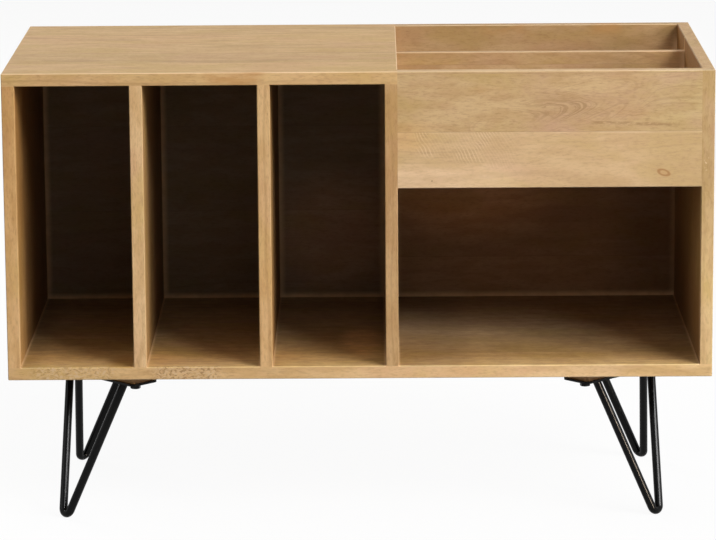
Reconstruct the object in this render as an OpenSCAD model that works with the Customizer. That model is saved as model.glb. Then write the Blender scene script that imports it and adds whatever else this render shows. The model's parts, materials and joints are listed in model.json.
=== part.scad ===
// Record storage stand: a wooden case on four bent-rod legs.
// Left: three tall slots for records. Right: an open bay under an open-topped bin.
// Millimetres, +Z up, front towards -Y. Origin: on the floor, under the centre of the case.

/* [Case] */
// Overall width of the case
case_w = 1000; // [940:1:1200]
// Overall depth of the case
case_d = 480; // [400:1:560]
// Height of the case, from the underside of its bottom board to its rim
case_h = 440; // [400:1:520]
// Thickness of every main board
board_t = 18; // [16:0.5:24]
// Size of the small bevel on the free arrises
arris = 1; // [0.5:0.1:2]

/* [Record slots] */
// Clear width of each of the three slots
slot_w = 161; // [120:1:175]

/* [Back] */
// Thickness of the two back panels
back_t = 6; // [4:0.5:8]
// Width of the rebate that each back panel is let into
rebate_w = 9; // [7:0.5:11]

/* [Bin] */
// Height of the bin's front and rear boards
bin_h = 166; // [130:1:200]
// Thickness of the bin's floor
bin_floor_t = 18; // [12:0.5:24]
// Distance from the case front to the bin divider
bin_front_room = 319; // [250:1:350]
// Thickness of the bin divider
divider_t = 12; // [9:0.5:18]
// How far the top of the bin divider lies below the rim
divider_drop = 20; // [10:1:60]
// How deep the divider's ends are let into the walls
housing = 5; // [3:0.5:7]

/* [Leg rods] */
// Height of a leg, from the floor to the top of its plate
leg_h = 203; // [150:1:300]
// Diameter of the round rod
rod_d = 12; // [10:0.5:14]
// Radius of the bend at the foot, on the rod's centre line
bend_r = 8; // [7.5:0.5:20]
// How much the bar's radius thins in the bend
bend_neck = 0.05; // [0.03:0.01:0.2]
// Distance between a leg's two arms where they meet the plate
arm_spread = 120; // [90:1:130]
// Angle by which a leg leans out towards its corner
lean = 18.5; // [8:0.5:22]
// Width of the weld bead round the top of each arm
weld = 2; // [1:0.5:3]

/* [Leg plates] */
// Length of a plate, across the corner
plate_l = 187; // [175:1:200]
// Width of a plate, towards the middle of the case
plate_w = 50; // [44:1:60]
// Thickness of a plate
plate_t = 3; // [2:0.5:5]
// Radius of a plate's corners
plate_r = 8; // [4:0.5:12]
// Distance from the corner of the case to the plate, along the diagonal
plate_inset = 153; // [140:1:175]
// Distance from a plate's outer edge to its arms and end holes
arm_inset = 14; // [12:0.5:18]
// Thickness of the wooden block above a plate
block_t = 18; // [12:0.5:25]
// How far the block stays back from the plate's edges
block_margin = 4; // [2:0.5:6]

/* [Leg bolts] */
// Thread diameter of the leg bolts
bolt_d = 8; // [6:1:8]
// Width of the hexagonal head across its flats
bolt_af = 13; // [10:0.5:14]
// Height of the hexagonal head
bolt_head_h = 5.3; // [4:0.1:7]
// How far a bolt reaches into the bottom board
bolt_bite = 13; // [9:0.5:14]
// Distance from a plate's end to its end hole
bolt_end = 10; // [9:0.5:12]

/* [Dowels] */
// Diameter of the dowels that join the boards
dowel_d = 8; // [6:0.5:8]
// Length of a dowel
dowel_l = 30; // [26:1:34]
// Depth of the dowel hole in the face of a board
dowel_face_hole = 12; // [10:0.5:13]
// Distance from the case front and back to the nearest dowel
dowel_margin = 50; // [40:1:80]

/* [Back screws] */
// Diameter of the small screws that hold the back panels
screw_d = 3; // [2.5:0.5:3.5]
// Length of a back screw
screw_l = 18; // [14:1:22]
// Diameter of its countersunk head
screw_head_d = 6; // [5:0.5:6.5]
// Distance from a panel's corner to its first screw
screw_margin = 40; // [30:1:60]

/* [Clearances] */
// Radial clearance of a dowel, bolt or screw in its hole
clear = 0.1; // [0.05:0.05:0.2]
// Room left past each end of a dowel and past the tip of a bolt or screw
end_gap = 0.8; // [0.4:0.1:0.9]

/* [Hidden] */
$fn = 48;

over = 1;         // how far a cutter runs past the face that it opens

wood = [0.77, 0.62, 0.43];
wood_inside = [0.55, 0.41, 0.27];
wood_dowel = [0.85, 0.74, 0.56];
black_steel = [0.06, 0.06, 0.065];
zinc = [0.62, 0.62, 0.6];

// Levels
case_z = leg_h + block_t;             // underside of the bottom board
floor_z = case_z + board_t;           // upper face of the bottom board
rim_z = case_z + case_h;              // rim of the case
ceiling_z = rim_z - board_t;          // underside of the top board
bin_z = rim_z - bin_h;                // lower edge of the bin's boards
bin_floor_z = bin_z + bin_floor_t;    // upper face of the bin's floor
divider_z = rim_z - divider_drop;     // top of the bin divider
plate_z = leg_h - plate_t;            // underside of the leg plates

// Depths: front is low, back is high
front_y = -case_d / 2;
back_y = case_d / 2;
panel_y = back_y - back_t;            // front face of the back panels
bin_rear_y = back_y - board_t;        // front face of the bin's rear board
divider_y = front_y + bin_front_room; // front face of the bin divider

// Widths: left face of each upright, from left to right
left_x = -case_w / 2;
right_x = case_w / 2;
inner_left_x = left_x + board_t;
inner_right_x = right_x - board_t;
pitch = slot_w + board_t;
div_1_x = left_x + pitch;
div_2_x = div_1_x + pitch;
part_x = div_2_x + pitch;
bay_x = part_x + board_t;             // right face of the partition
back_joint_x = bay_x - rebate_w;      // where the back panels meet behind the partition

// Clear openings at the front, as pairs of left and right limits
slot_spans = [
    [inner_left_x, div_1_x],
    [div_1_x + board_t, div_2_x],
    [div_2_x + board_t, part_x]
];
bay_span = [bay_x, inner_right_x];

// How far a dowel stands in the face of one board, and how deep its hole is in the end of the other
dowel_seat = dowel_face_hole - end_gap;
end_hole = dowel_l - dowel_seat + end_gap;
// Dowels that stand up, as [x, number in a row]: joints to the bottom board and to the top board
bottom_rows = [
    [left_x + board_t / 2, 4],
    [div_1_x + board_t / 2, 3],
    [div_2_x + board_t / 2, 3],
    [part_x + board_t / 2, 4],
    [right_x - board_t / 2, 4]
];
top_rows = [for (i = [0:3]) bottom_rows[i]];
// Dowels that lie along X, as [y, z], at the left and at the right end of a bin board
bin_front_rows = [for (k = [0.2, 0.5, 0.8]) [front_y + board_t / 2, bin_z + k * bin_h]];
bin_rear_rows = [for (k = [0.28, 0.72]) [bin_rear_y + (board_t - back_t) / 2, bin_z + k * bin_h]];
bin_floor_rows = [for (k = [-1, 0, 1]) [k * case_d / 4, bin_z + bin_floor_t / 2]];
bin_rows = concat(bin_front_rows, bin_rear_rows, bin_floor_rows);

// Screws through the back panels, as [x, z]
slots_low_z = floor_z - rebate_w / 2;
slots_high_z = ceiling_z + rebate_w / 2;
bay_high_z = bin_z + rebate_w / 2;
slots_mid_z = (floor_z + ceiling_z) / 2;
bay_mid_z = (floor_z + bin_z) / 2;
slots_mids_x = [for (s = slot_spans) (s[0] + s[1]) / 2];
bay_mids_x = [bay_x + screw_margin, (bay_x + inner_right_x) / 2, inner_right_x - screw_margin];
slots_screws = concat(
    [for (x = slots_mids_x) for (z = [slots_low_z, slots_high_z]) [x, z]],
    [for (x = [inner_left_x - rebate_w / 2, div_1_x + board_t / 2, div_2_x + board_t / 2,
               back_joint_x - (back_joint_x - part_x) / 2])
        for (z = [floor_z + screw_margin, slots_mid_z, ceiling_z - screw_margin]) [x, z]]
);
bay_screws = concat(
    [for (x = bay_mids_x) for (z = [slots_low_z, bay_high_z]) [x, z]],
    [for (x = [back_joint_x + rebate_w / 2, inner_right_x + rebate_w / 2])
        for (z = [floor_z + screw_margin, bin_z - screw_margin]) [x, z]]
);
all_screws = concat(slots_screws, bay_screws);

// Leg: a plane that leans out, in which two arms meet in a bend
arm_v = plate_inset + arm_inset;                         // arms' distance from the corner
foot_r = rod_d / 2 - bend_neck;                          // radius of the bar in its bend
bend_z = foot_r + bend_r * cos(lean);                    // height of the bend's centre
bend_v = arm_v - (plate_z - bend_z) * tan(lean);         // bend's distance from the corner
leg_reach = (plate_z - bend_z) / cos(lean);              // from the bend's centre to the plate
half_spread = arm_spread / 2;
arm_l = sqrt(half_spread * half_spread + leg_reach * leg_reach - bend_r * bend_r);
half_angle = atan2(half_spread, leg_reach) - atan2(bend_r, arm_l);
// Bolt holes in a plate, from the corner of the case: across the diagonal, along the diagonal
plate_holes = [
    [-(plate_l / 2 - bolt_end), arm_v],
    [plate_l / 2 - bolt_end, arm_v],
    [0, plate_inset + plate_w - arm_inset]
];

// ---- helpers ----

// Box between two corners
module span(low, high) {
    translate(low) cube([high[0] - low[0], high[1] - low[1], high[2] - low[2]]);
}

// Corner profile to take off an arris: a and b point into the board
module arris_profile(a, b) {
    polygon([
        [-a * over, -b * over],
        [a * (arris + over), -b * over],
        [-a * over, b * (arris + over)]
    ]);
}

// Bevel cutters along X, Y and Z
module ease_x(x0, x1, y, z, sy, sz) {
    translate([x0, y, z]) rotate([90, 0, 90]) linear_extrude(x1 - x0) arris_profile(sy, sz);
}

module ease_y(y0, y1, x, z, sx, sz) {
    translate([x, y1, z]) rotate([90, 0, 0]) linear_extrude(y1 - y0) arris_profile(sx, sz);
}

module ease_z(z0, z1, x, y, sx, sy) {
    translate([x, y, z0]) linear_extrude(z1 - z0) arris_profile(sx, sy);
}

// Depths of the dowels in an upright's row
function dowel_ys(n) =
    [for (i = [0:n - 1]) front_y + dowel_margin + i * (panel_y - front_y - 2 * dowel_margin) / (n - 1)];

// Holes for the upright dowels of one row: joint is the height of the joint face
module dowel_row_holes(row, joint, down, up) {
    for (y = dowel_ys(row[1]))
        translate([row[0], y, joint - down]) cylinder(d = dowel_d + 2 * clear, h = down + up);
}

// Holes for the dowels that lie along X, from a joint face at x
module lying_holes(rows, x, left, right) {
    for (p = rows)
        translate([x - left, p[0], p[1]]) rotate([0, 90, 0])
            cylinder(d = dowel_d + 2 * clear, h = left + right);
}

// Pilot holes of the back screws in the boards
module screw_pilots(points) {
    for (p = points)
        translate([p[0], panel_y + over, p[1]]) rotate([90, 0, 0])
            cylinder(d = screw_d + 2 * clear, h = screw_l - back_t + end_gap + over);
}

// Countersunk holes of the back screws in a panel
module screw_holes(points) {
    for (p = points) {
        translate([p[0], back_y + over, p[1]]) rotate([90, 0, 0])
            cylinder(d = screw_d + 2 * clear, h = back_t + 2 * over);
        translate([p[0], back_y + clear, p[1]]) rotate([90, 0, 0])
            cylinder(d1 = screw_head_d + 4 * clear, d2 = 0, h = screw_head_d / 2 + 2 * clear);
    }
}

// A fluted dowel is drawn as a plain one with bevelled ends, standing on its lower end
module dowel() {
    tip = dowel_d / 8;
    cylinder(d1 = dowel_d - 2 * tip, d2 = dowel_d, h = tip);
    translate([0, 0, tip]) cylinder(d = dowel_d, h = dowel_l - 2 * tip);
    translate([0, 0, dowel_l - tip]) cylinder(d1 = dowel_d, d2 = dowel_d - 2 * tip, h = tip);
}

// Puts its children at one corner of the case: X runs across the corner, Y towards the middle
module at_corner(side, end) {
    mirror([side > 0 ? 1 : 0, 0, 0]) mirror([0, end > 0 ? 1 : 0, 0])
        translate([left_x, front_y, 0]) rotate([0, 0, -45]) children();
}

// Flat bar with rounded corners, centred across the corner, from its outer edge inwards
module rounded_bar(l, w, r, t) {
    linear_extrude(t) union() {
        translate([-l / 2 + r, 0]) square([l - 2 * r, w]);
        translate([-l / 2, r]) square([l, w - 2 * r]);
        for (x = [-l / 2 + r, l / 2 - r])
            for (y = [r, w - r])
                translate([x, y]) circle(r);
    }
}

// ---- case ----

module bottom_panel() {
    color(wood) difference() {
        span([left_x, front_y, case_z], [right_x, back_y, floor_z]);
        span([inner_left_x - rebate_w, panel_y, floor_z - rebate_w],
             [inner_right_x + rebate_w, back_y + over, floor_z + over]);
        for (row = bottom_rows)
            dowel_row_holes(row, floor_z, dowel_face_hole, over);
        screw_pilots([for (p = all_screws) if (p[1] < floor_z) p]);
        for (side = [-1, 1])
            for (end = [-1, 1])
                at_corner(side, end)
                    for (p = plate_holes)
                        translate([p[0], p[1], case_z - over])
                            cylinder(d = bolt_d + 2 * clear, h = over + bolt_bite + end_gap);
        // free arrises: lower edges all round, upright corners, and the front of each opening
        for (y = [front_y, back_y])
            ease_x(left_x - over, right_x + over, y, case_z, -sign(y), 1);
        for (x = [left_x, right_x])
            ease_y(front_y - over, back_y + over, x, case_z, -sign(x), 1);
        for (x = [left_x, right_x])
            for (y = [front_y, back_y])
                ease_z(case_z - over, floor_z, x, y, -sign(x), -sign(y));
        for (s = concat(slot_spans, [bay_span]))
            ease_x(s[0], s[1], front_y, floor_z, 1, -1);
    }
}

module left_side_panel() {
    color(wood) difference() {
        span([left_x, front_y, floor_z], [inner_left_x, back_y, ceiling_z]);
        span([inner_left_x - rebate_w, panel_y, floor_z - over],
             [inner_left_x + over, back_y + over, ceiling_z + over]);
        dowel_row_holes(bottom_rows[0], floor_z, over, end_hole);
        dowel_row_holes(top_rows[0], ceiling_z, end_hole, over);
        screw_pilots([for (p = slots_screws) if (p[0] < inner_left_x) p]);
        ease_z(floor_z, ceiling_z, left_x, front_y, 1, 1);
        ease_z(floor_z, ceiling_z, left_x, back_y, 1, -1);
        ease_z(floor_z, ceiling_z, inner_left_x, front_y, -1, 1);
    }
}

module right_side_panel() {
    color(wood) difference() {
        span([inner_right_x, front_y, floor_z], [right_x, back_y, rim_z]);
        span([inner_right_x - over, panel_y, floor_z - over],
             [inner_right_x + rebate_w, back_y + over, bin_z + rebate_w]);
        dowel_row_holes(bottom_rows[4], floor_z, over, end_hole);
        lying_holes(bin_rows, inner_right_x, over, dowel_face_hole);
        screw_pilots([for (p = bay_screws) if (p[0] > inner_right_x) p]);
        // housing of the bin divider
        span([inner_right_x - over, divider_y, bin_floor_z],
             [inner_right_x + housing, divider_y + divider_t, divider_z]);
        for (y = [front_y, back_y])
            ease_z(floor_z, rim_z + over, right_x, y, -1, -sign(y));
        ease_y(front_y - over, back_y + over, right_x, rim_z, -1, -1);
        ease_x(inner_right_x - over, right_x + over, front_y, rim_z, 1, -1);
        ease_x(inner_right_x - over, right_x + over, back_y, rim_z, -1, -1);
        ease_z(floor_z, bin_z, inner_right_x, front_y, 1, 1);
        ease_y(front_y + board_t, bin_rear_y, inner_right_x, rim_z, 1, -1);
    }
}

module top_panel() {
    color(wood) difference() {
        span([left_x, front_y, ceiling_z], [bay_x, back_y, rim_z]);
        span([inner_left_x - rebate_w, panel_y, ceiling_z - over],
             [back_joint_x, back_y + over, ceiling_z + rebate_w]);
        for (row = top_rows)
            dowel_row_holes(row, ceiling_z, over, dowel_face_hole);
        screw_pilots([for (p = slots_screws) if (p[1] > ceiling_z) p]);
        for (y = [front_y, back_y])
            ease_x(left_x - over, bay_x + over, y, rim_z, -sign(y), -1);
        ease_y(front_y - over, back_y + over, left_x, rim_z, 1, -1);
        ease_y(front_y + board_t, bin_rear_y, bay_x, rim_z, -1, -1);
        for (y = [front_y, back_y])
            ease_z(ceiling_z, rim_z + over, left_x, y, 1, -sign(y));
        for (s = slot_spans)
            ease_x(s[0], s[1], front_y, ceiling_z, 1, 1);
    }
}

// One of the two plain uprights between the slots
module slot_divider(x, row) {
    color(wood) difference() {
        span([x, front_y, floor_z], [x + board_t, panel_y, ceiling_z]);
        dowel_row_holes(bottom_rows[row], floor_z, over, end_hole);
        dowel_row_holes(top_rows[row], ceiling_z, end_hole, over);
        screw_pilots([for (p = slots_screws) if (p[0] > x && p[0] < x + board_t) p]);
        ease_z(floor_z, ceiling_z, x, front_y, 1, 1);
        ease_z(floor_z, ceiling_z, x + board_t, front_y, -1, 1);
    }
}

module slot_divider_left() { slot_divider(div_1_x, 1); }

module slot_divider_right() { slot_divider(div_2_x, 2); }

module partition_panel() {
    color(wood) difference() {
        span([part_x, front_y, floor_z], [bay_x, panel_y, ceiling_z]);
        dowel_row_holes(bottom_rows[3], floor_z, over, end_hole);
        dowel_row_holes(top_rows[3], ceiling_z, end_hole, over);
        lying_holes(bin_rows, bay_x, dowel_face_hole, over);
        screw_pilots([for (p = all_screws) if (p[0] > part_x && p[0] < bay_x) p]);
        // housing of the bin divider
        span([bay_x - housing, divider_y, bin_floor_z],
             [bay_x + over, divider_y + divider_t, divider_z]);
        ease_z(floor_z, ceiling_z, part_x, front_y, 1, 1);
        ease_z(floor_z, bin_z, bay_x, front_y, -1, 1);
    }
}

// ---- bin ----

module bin_front_board() {
    color(wood) difference() {
        span([bay_x, front_y, bin_z], [inner_right_x, front_y + board_t, rim_z]);
        lying_holes(bin_front_rows, bay_x, over, end_hole);
        lying_holes(bin_front_rows, inner_right_x, end_hole, over);
        ease_x(bay_x - over, inner_right_x + over, front_y, rim_z, 1, -1);
        ease_x(bay_x - over, inner_right_x + over, front_y + board_t, rim_z, -1, -1);
        ease_x(bay_x - over, inner_right_x + over, front_y, bin_z, 1, 1);
    }
}

module bin_rear_board() {
    color(wood) difference() {
        span([back_joint_x, bin_rear_y, bin_z], [inner_right_x, back_y, rim_z]);
        // the left end laps the partition with a thin tongue, under the top board
        span([back_joint_x - over, bin_rear_y - over, bin_z - over], [bay_x, panel_y, rim_z + over]);
        span([back_joint_x - over, panel_y - over, ceiling_z], [bay_x, back_y + over, rim_z + over]);
        // rebate of the bay's back panel
        span([back_joint_x - over, panel_y, bin_z - over],
             [inner_right_x + over, back_y + over, bin_z + rebate_w]);
        lying_holes(bin_rear_rows, bay_x, over, end_hole);
        lying_holes(bin_rear_rows, inner_right_x, end_hole, over);
        screw_pilots([for (p = bay_screws) if (p[1] > bin_z) p]);
        ease_x(bay_x - over, inner_right_x + over, bin_rear_y, rim_z, 1, -1);
        ease_x(bay_x - over, inner_right_x + over, back_y, rim_z, -1, -1);
    }
}

module bin_floor_panel() {
    color(wood_inside) difference() {
        span([bay_x, front_y + board_t, bin_z], [inner_right_x, bin_rear_y, bin_floor_z]);
        lying_holes(bin_floor_rows, bay_x, over, end_hole);
        lying_holes(bin_floor_rows, inner_right_x, end_hole, over);
    }
}

module bin_divider() {
    color(wood) difference() {
        span([bay_x - housing, divider_y, bin_floor_z],
             [inner_right_x + housing, divider_y + divider_t, divider_z]);
        for (k = [0, 1])
            ease_x(bay_x, inner_right_x, divider_y + k * divider_t, divider_z, 1 - 2 * k, -1);
    }
}

// ---- back ----

module back_panel_slots() {
    color(wood_inside) difference() {
        span([inner_left_x - rebate_w, panel_y, floor_z - rebate_w],
             [back_joint_x, back_y, ceiling_z + rebate_w]);
        screw_holes(slots_screws);
    }
}

module back_panel_bay() {
    color(wood_inside) difference() {
        span([back_joint_x, panel_y, floor_z - rebate_w],
             [inner_right_x + rebate_w, back_y, bin_z + rebate_w]);
        screw_holes(bay_screws);
    }
}

module back_screws() {
    head_h = (screw_head_d - screw_d) / 2;
    tip = screw_d;
    color(zinc)
        for (p = all_screws)
            translate([p[0], back_y, p[1]]) rotate([90, 0, 0]) {
                cylinder(d1 = screw_head_d, d2 = screw_d, h = head_h);
                translate([0, 0, head_h]) cylinder(d = screw_d, h = screw_l - head_h - tip);
                translate([0, 0, screw_l - tip]) cylinder(d1 = screw_d, d2 = screw_d / 5, h = tip);
            }
}

// ---- joints inside the boards ----

module case_dowels() {
    color(wood_dowel) {
        for (row = bottom_rows)
            for (y = dowel_ys(row[1]))
                translate([row[0], y, floor_z - dowel_seat]) dowel();
        for (row = top_rows)
            for (y = dowel_ys(row[1]))
                translate([row[0], y, ceiling_z + dowel_seat - dowel_l]) dowel();
    }
}

module bin_dowels() {
    color(wood_dowel)
        for (p = bin_rows) {
            translate([bay_x - dowel_seat, p[0], p[1]]) rotate([0, 90, 0]) dowel();
            translate([inner_right_x + dowel_seat - dowel_l, p[0], p[1]]) rotate([0, 90, 0]) dowel();
        }
}

// ---- legs ----

// Wooden block between the bottom board and a plate
module leg_block(side, end) {
    color(wood) at_corner(side, end) difference() {
        translate([0, plate_inset + block_margin, leg_h])
            rounded_bar(plate_l - 2 * block_margin, plate_w - 2 * block_margin, plate_r / 2, block_t);
        for (p = plate_holes)
            translate([p[0], p[1], leg_h - over])
                cylinder(d = bolt_d + 2 * clear, h = block_t + 2 * over);
    }
}

module leg_plate(side, end) {
    color(black_steel) at_corner(side, end) difference() {
        translate([0, plate_inset, plate_z]) rounded_bar(plate_l, plate_w, plate_r, plate_t);
        for (p = plate_holes)
            translate([p[0], p[1], plate_z - over])
                cylinder(d = bolt_d + 10 * clear, h = plate_t + 2 * over);
    }
}

// One arm of a leg with its weld bead, in the leaning plane.
// It starts a little inside the bend and runs a little past the plate.
module leg_arm() {
    past = 2 * rod_d;
    lap = 6 * bend_neck;
    bead_h = 3 * weld;
    rotate([0, 0, -half_angle]) translate([bend_r, 0, 0]) rotate([-90, 0, 0]) {
        translate([0, 0, -lap]) cylinder(d = rod_d, h = lap + arm_l + past);
        translate([0, 0, arm_l - bead_h])
            cylinder(r1 = rod_d / 2 - weld / 2, r2 = rod_d / 2 + 2.5 * weld, h = 2 * bead_h);
    }
}

// Rod bent to a V: two arms and a bend, cut flat where it meets the plate
module leg_rod(side, end) {
    color(black_steel) at_corner(side, end) difference() {
        translate([0, bend_v, bend_z]) rotate([90 - lean, 0, 0]) {
            rotate([0, 0, 180 + half_angle])
                rotate_extrude(angle = 180 - 2 * half_angle) translate([bend_r, 0]) circle(r = foot_r);
            leg_arm();
            mirror([1, 0, 0]) leg_arm();
        }
        translate([-arm_spread, 0, plate_z]) cube([2 * arm_spread, 2 * arm_v, 4 * rod_d]);
    }
}

// Hex bolt, standing on its head's outer face
module leg_bolt() {
    tip = bolt_d / 2;
    shank = plate_t + block_t + bolt_bite;
    corner_r = bolt_af / 2 / cos(30);
    intersection() {
        cylinder(r = corner_r, h = bolt_head_h, $fn = 6);
        cylinder(r1 = bolt_af / 2 * 0.97, r2 = bolt_af / 2 * 0.97 + 2 * bolt_head_h, h = bolt_head_h);
    }
    translate([0, 0, bolt_head_h]) cylinder(d = bolt_d, h = shank - tip);
    translate([0, 0, bolt_head_h + shank - tip]) cylinder(d1 = bolt_d, d2 = bolt_d / 2, h = tip);
}

module leg_bolts() {
    color(black_steel)
        for (side = [-1, 1])
            for (end = [-1, 1])
                at_corner(side, end)
                    for (p = plate_holes)
                        translate([p[0], p[1], plate_z - bolt_head_h]) leg_bolt();
}

module leg_block_front_left() { leg_block(-1, -1); }
module leg_block_front_right() { leg_block(1, -1); }
module leg_block_rear_left() { leg_block(-1, 1); }
module leg_block_rear_right() { leg_block(1, 1); }
module leg_plate_front_left() { leg_plate(-1, -1); }
module leg_plate_front_right() { leg_plate(1, -1); }
module leg_plate_rear_left() { leg_plate(-1, 1); }
module leg_plate_rear_right() { leg_plate(1, 1); }
module leg_rod_front_left() { leg_rod(-1, -1); }
module leg_rod_front_right() { leg_rod(1, -1); }
module leg_rod_rear_left() { leg_rod(-1, 1); }
module leg_rod_rear_right() { leg_rod(1, 1); }

// ---- what is drawn ----

bottom_panel();
left_side_panel();
right_side_panel();
top_panel();
slot_divider_left();
slot_divider_right();
partition_panel();
bin_front_board();
bin_rear_board();
bin_floor_panel();
bin_divider();
back_panel_slots();
back_panel_bay();
leg_block_front_left();
leg_block_front_right();
leg_block_rear_left();
leg_block_rear_right();
leg_plate_front_left();
leg_plate_front_right();
leg_plate_rear_left();
leg_plate_rear_right();
leg_rod_front_left();
leg_rod_front_right();
leg_rod_rear_left();
leg_rod_rear_right();
leg_bolts();
case_dowels();
bin_dowels();
back_screws();
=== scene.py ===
# %% [markdown]
# # A record storage stand
# A wooden case on four black bent-rod legs. On the left are three upright slots for records; on
# the right is an open bay with a bin above it. The boards, plates and rods come from the CAD
# model, which is loaded below as a fixed frame. This script gives every board its own wood, adds
# the small things that show from close by, and sets up the studio and the camera.

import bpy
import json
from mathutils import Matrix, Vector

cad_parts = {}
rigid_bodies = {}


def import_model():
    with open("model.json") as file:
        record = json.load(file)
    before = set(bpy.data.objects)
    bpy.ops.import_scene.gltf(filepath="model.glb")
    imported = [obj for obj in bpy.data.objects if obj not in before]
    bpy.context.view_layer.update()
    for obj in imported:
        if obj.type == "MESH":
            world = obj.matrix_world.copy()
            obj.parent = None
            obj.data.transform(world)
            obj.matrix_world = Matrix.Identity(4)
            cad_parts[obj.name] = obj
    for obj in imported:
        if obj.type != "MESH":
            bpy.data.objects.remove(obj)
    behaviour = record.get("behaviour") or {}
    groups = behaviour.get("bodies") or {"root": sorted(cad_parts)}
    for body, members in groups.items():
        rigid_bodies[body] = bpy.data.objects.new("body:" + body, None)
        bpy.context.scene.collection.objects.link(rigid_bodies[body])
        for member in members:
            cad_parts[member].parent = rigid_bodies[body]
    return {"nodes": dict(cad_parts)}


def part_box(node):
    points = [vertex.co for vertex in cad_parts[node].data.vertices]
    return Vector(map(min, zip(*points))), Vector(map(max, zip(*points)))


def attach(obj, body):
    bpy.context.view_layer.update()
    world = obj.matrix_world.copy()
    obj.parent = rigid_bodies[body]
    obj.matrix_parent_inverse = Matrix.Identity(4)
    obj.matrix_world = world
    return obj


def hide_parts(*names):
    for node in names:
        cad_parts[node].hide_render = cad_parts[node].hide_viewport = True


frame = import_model()
node = frame["nodes"]
print("CAD nodes:", len(node))

# %% [markdown]
# The tools that the cells below use are loaded here.

# %% tools
import json
import math

import bmesh
import bpy
from mathutils import Matrix, Vector

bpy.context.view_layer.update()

# %% [markdown]
# ## How shaders are written here
# A shader graph is a page of sums. Wiring each Math node by hand hides the sum, so one small
# class wraps the end of a link: adding or multiplying two of them adds the Math node. All the
# other nodes come from its one method, which takes the node's settings first and its sockets next.

# %% a link that can be used in sums
class Wire:
    """The end of one shader link. Sums written on it add Math nodes to its tree."""

    def __init__(self, tree, socket=None):
        self.tree, self.socket = tree, socket

    def node(self, kind, settings, sockets, out=0):
        """Adds a node, gives it its settings, fills its sockets and returns one of its outputs."""
        made = self.tree.nodes.new(kind)
        for name, value in settings.items():
            setattr(made, name, value)
        ends = [s for s in made.inputs if s.enabled]
        for key, value in sockets.items():
            end = ends[key] if isinstance(key, int) else next(s for s in ends if s.name == key)
            if isinstance(value, Wire):
                self.tree.links.new(value.socket, end)
            else:
                end.default_value = value
        outs = [s for s in made.outputs if s.enabled]
        if not outs:
            return self
        return Wire(self.tree, outs[out] if isinstance(out, int) else made.outputs[out])

    def math(self, operation, *values):
        """One Math node that works on these values."""
        return self.node("ShaderNodeMath", {"operation": operation}, dict(enumerate(values)))

    def __add__(self, other):
        return self.math("ADD", self, other)

    def __sub__(self, other):
        return self.math("SUBTRACT", self, other)

    def __rsub__(self, other):
        return self.math("SUBTRACT", other, self)

    def __mul__(self, other):
        return self.math("MULTIPLY", self, other)

    def __truediv__(self, other):
        return self.math("DIVIDE", self, other)

    def __abs__(self):
        return self.math("ABSOLUTE", self)

    __radd__, __rmul__ = __add__, __mul__


print("sums on wires: + - * / abs")

# %% [markdown]
# A few things are asked of a wire again and again: a soft step between two values, the distance
# from a point, a strip or an oval with soft edges, a colour laid on where a mask is 1, a vector
# put together from three values, and noise.

# %% short names for common nodes
AXES = "XYZ"


def step(value, low, high):
    """Rises softly from 0 at low to 1 at high. High may be the smaller of the two."""
    ends = {"Value": value, "From Min": low, "From Max": high}
    return value.node("ShaderNodeMapRange", {"interpolation_type": "SMOOTHSTEP"}, ends)


def length(one, two):
    """How far a point with these two coordinates lies from 0."""
    square = one * one + two * two
    return square.math("SQRT", square)


def strip(value, middle, edge, full):
    """1 where the value is within full of the middle, and 0 from edge outwards."""
    return step(abs(value - middle), edge, full)


def oval(across, up, middle, half, edge=1.0, full=0.3):
    """1 inside an oval. Edge and full are shares of its two half sizes."""
    reach = length((across - middle[0]) / half[0], (up - middle[1]) / half[1])
    return step(reach, edge, full)


def most(one, two):
    """The larger of two wires."""
    return one.math("MAXIMUM", one, two)


def least(values):
    """The smallest of several wires."""
    nearest = values[0]
    for value in values[1:]:
        nearest = nearest.math("MINIMUM", nearest, value)
    return nearest


def mix(mask, under, over, how="MIX"):
    """The colour under, with the colour over laid on it where the mask is 1."""
    wire = next(w for w in (mask, under, over) if isinstance(w, Wire))
    settings = {"data_type": "RGBA", "blend_type": how, "clamp_factor": True}
    return wire.node("ShaderNodeMix", settings, {"Factor": mask, "A": under, "B": over})


def vector(x, y, z):
    """Three wires as one vector."""
    return x.node("ShaderNodeCombineXYZ", {}, {"X": x, "Y": y, "Z": z})


def split(value):
    """The three parts of a vector or of a colour."""
    return [value.node("ShaderNodeSeparateXYZ", {}, {"Vector": value}, axis) for axis in AXES]


def mottle(place, detail, out="Factor", roughness=0.5):
    """Noise with one blob to each unit of place."""
    ends = {"Vector": place, "Scale": 1.0, "Detail": detail, "Roughness": roughness}
    return place.node("ShaderNodeTexNoise", {}, ends, 0 if out == "Factor" else 1)


def paint(red, green, blue):
    """A colour as linear red, green and blue, with the fourth number that sockets want."""
    return (red, green, blue, 1.0)


print("short names: step, length, strip, oval, most, least, mix, vector, split, mottle, paint")

# %% [markdown]
# ## The wood
# Mango wood is tan, with olive and pinkish clouds, soft growth rings, fine fibres and short dark
# pores. A picture wrapped round a board would break at its arrises. A tree doesn't: its rings are
# cylinders about the pith, and a board is a slice through them. So the pattern is worked out in
# space, in each board's own along, wide and thick directions, and faces, edges and end grain then
# agree by themselves. Wide boards are glued up from staves, and each stave is cut from another
# log, so a random number for each stave moves the pith and shifts the noise.

# %% the colours of the wood
PALE = paint(0.65, 0.455, 0.265)
BODY = paint(0.565, 0.375, 0.200)
DARK = paint(0.30, 0.165, 0.075)
OLIVE = paint(0.545, 0.377, 0.163)
PINK = paint(0.60, 0.380, 0.238)
RUST = paint(0.50, 0.245, 0.085)
ARRIS = paint(0.80, 0.60, 0.38)
print("wood from", PALE[:3], "to", DARK[:3])

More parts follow.
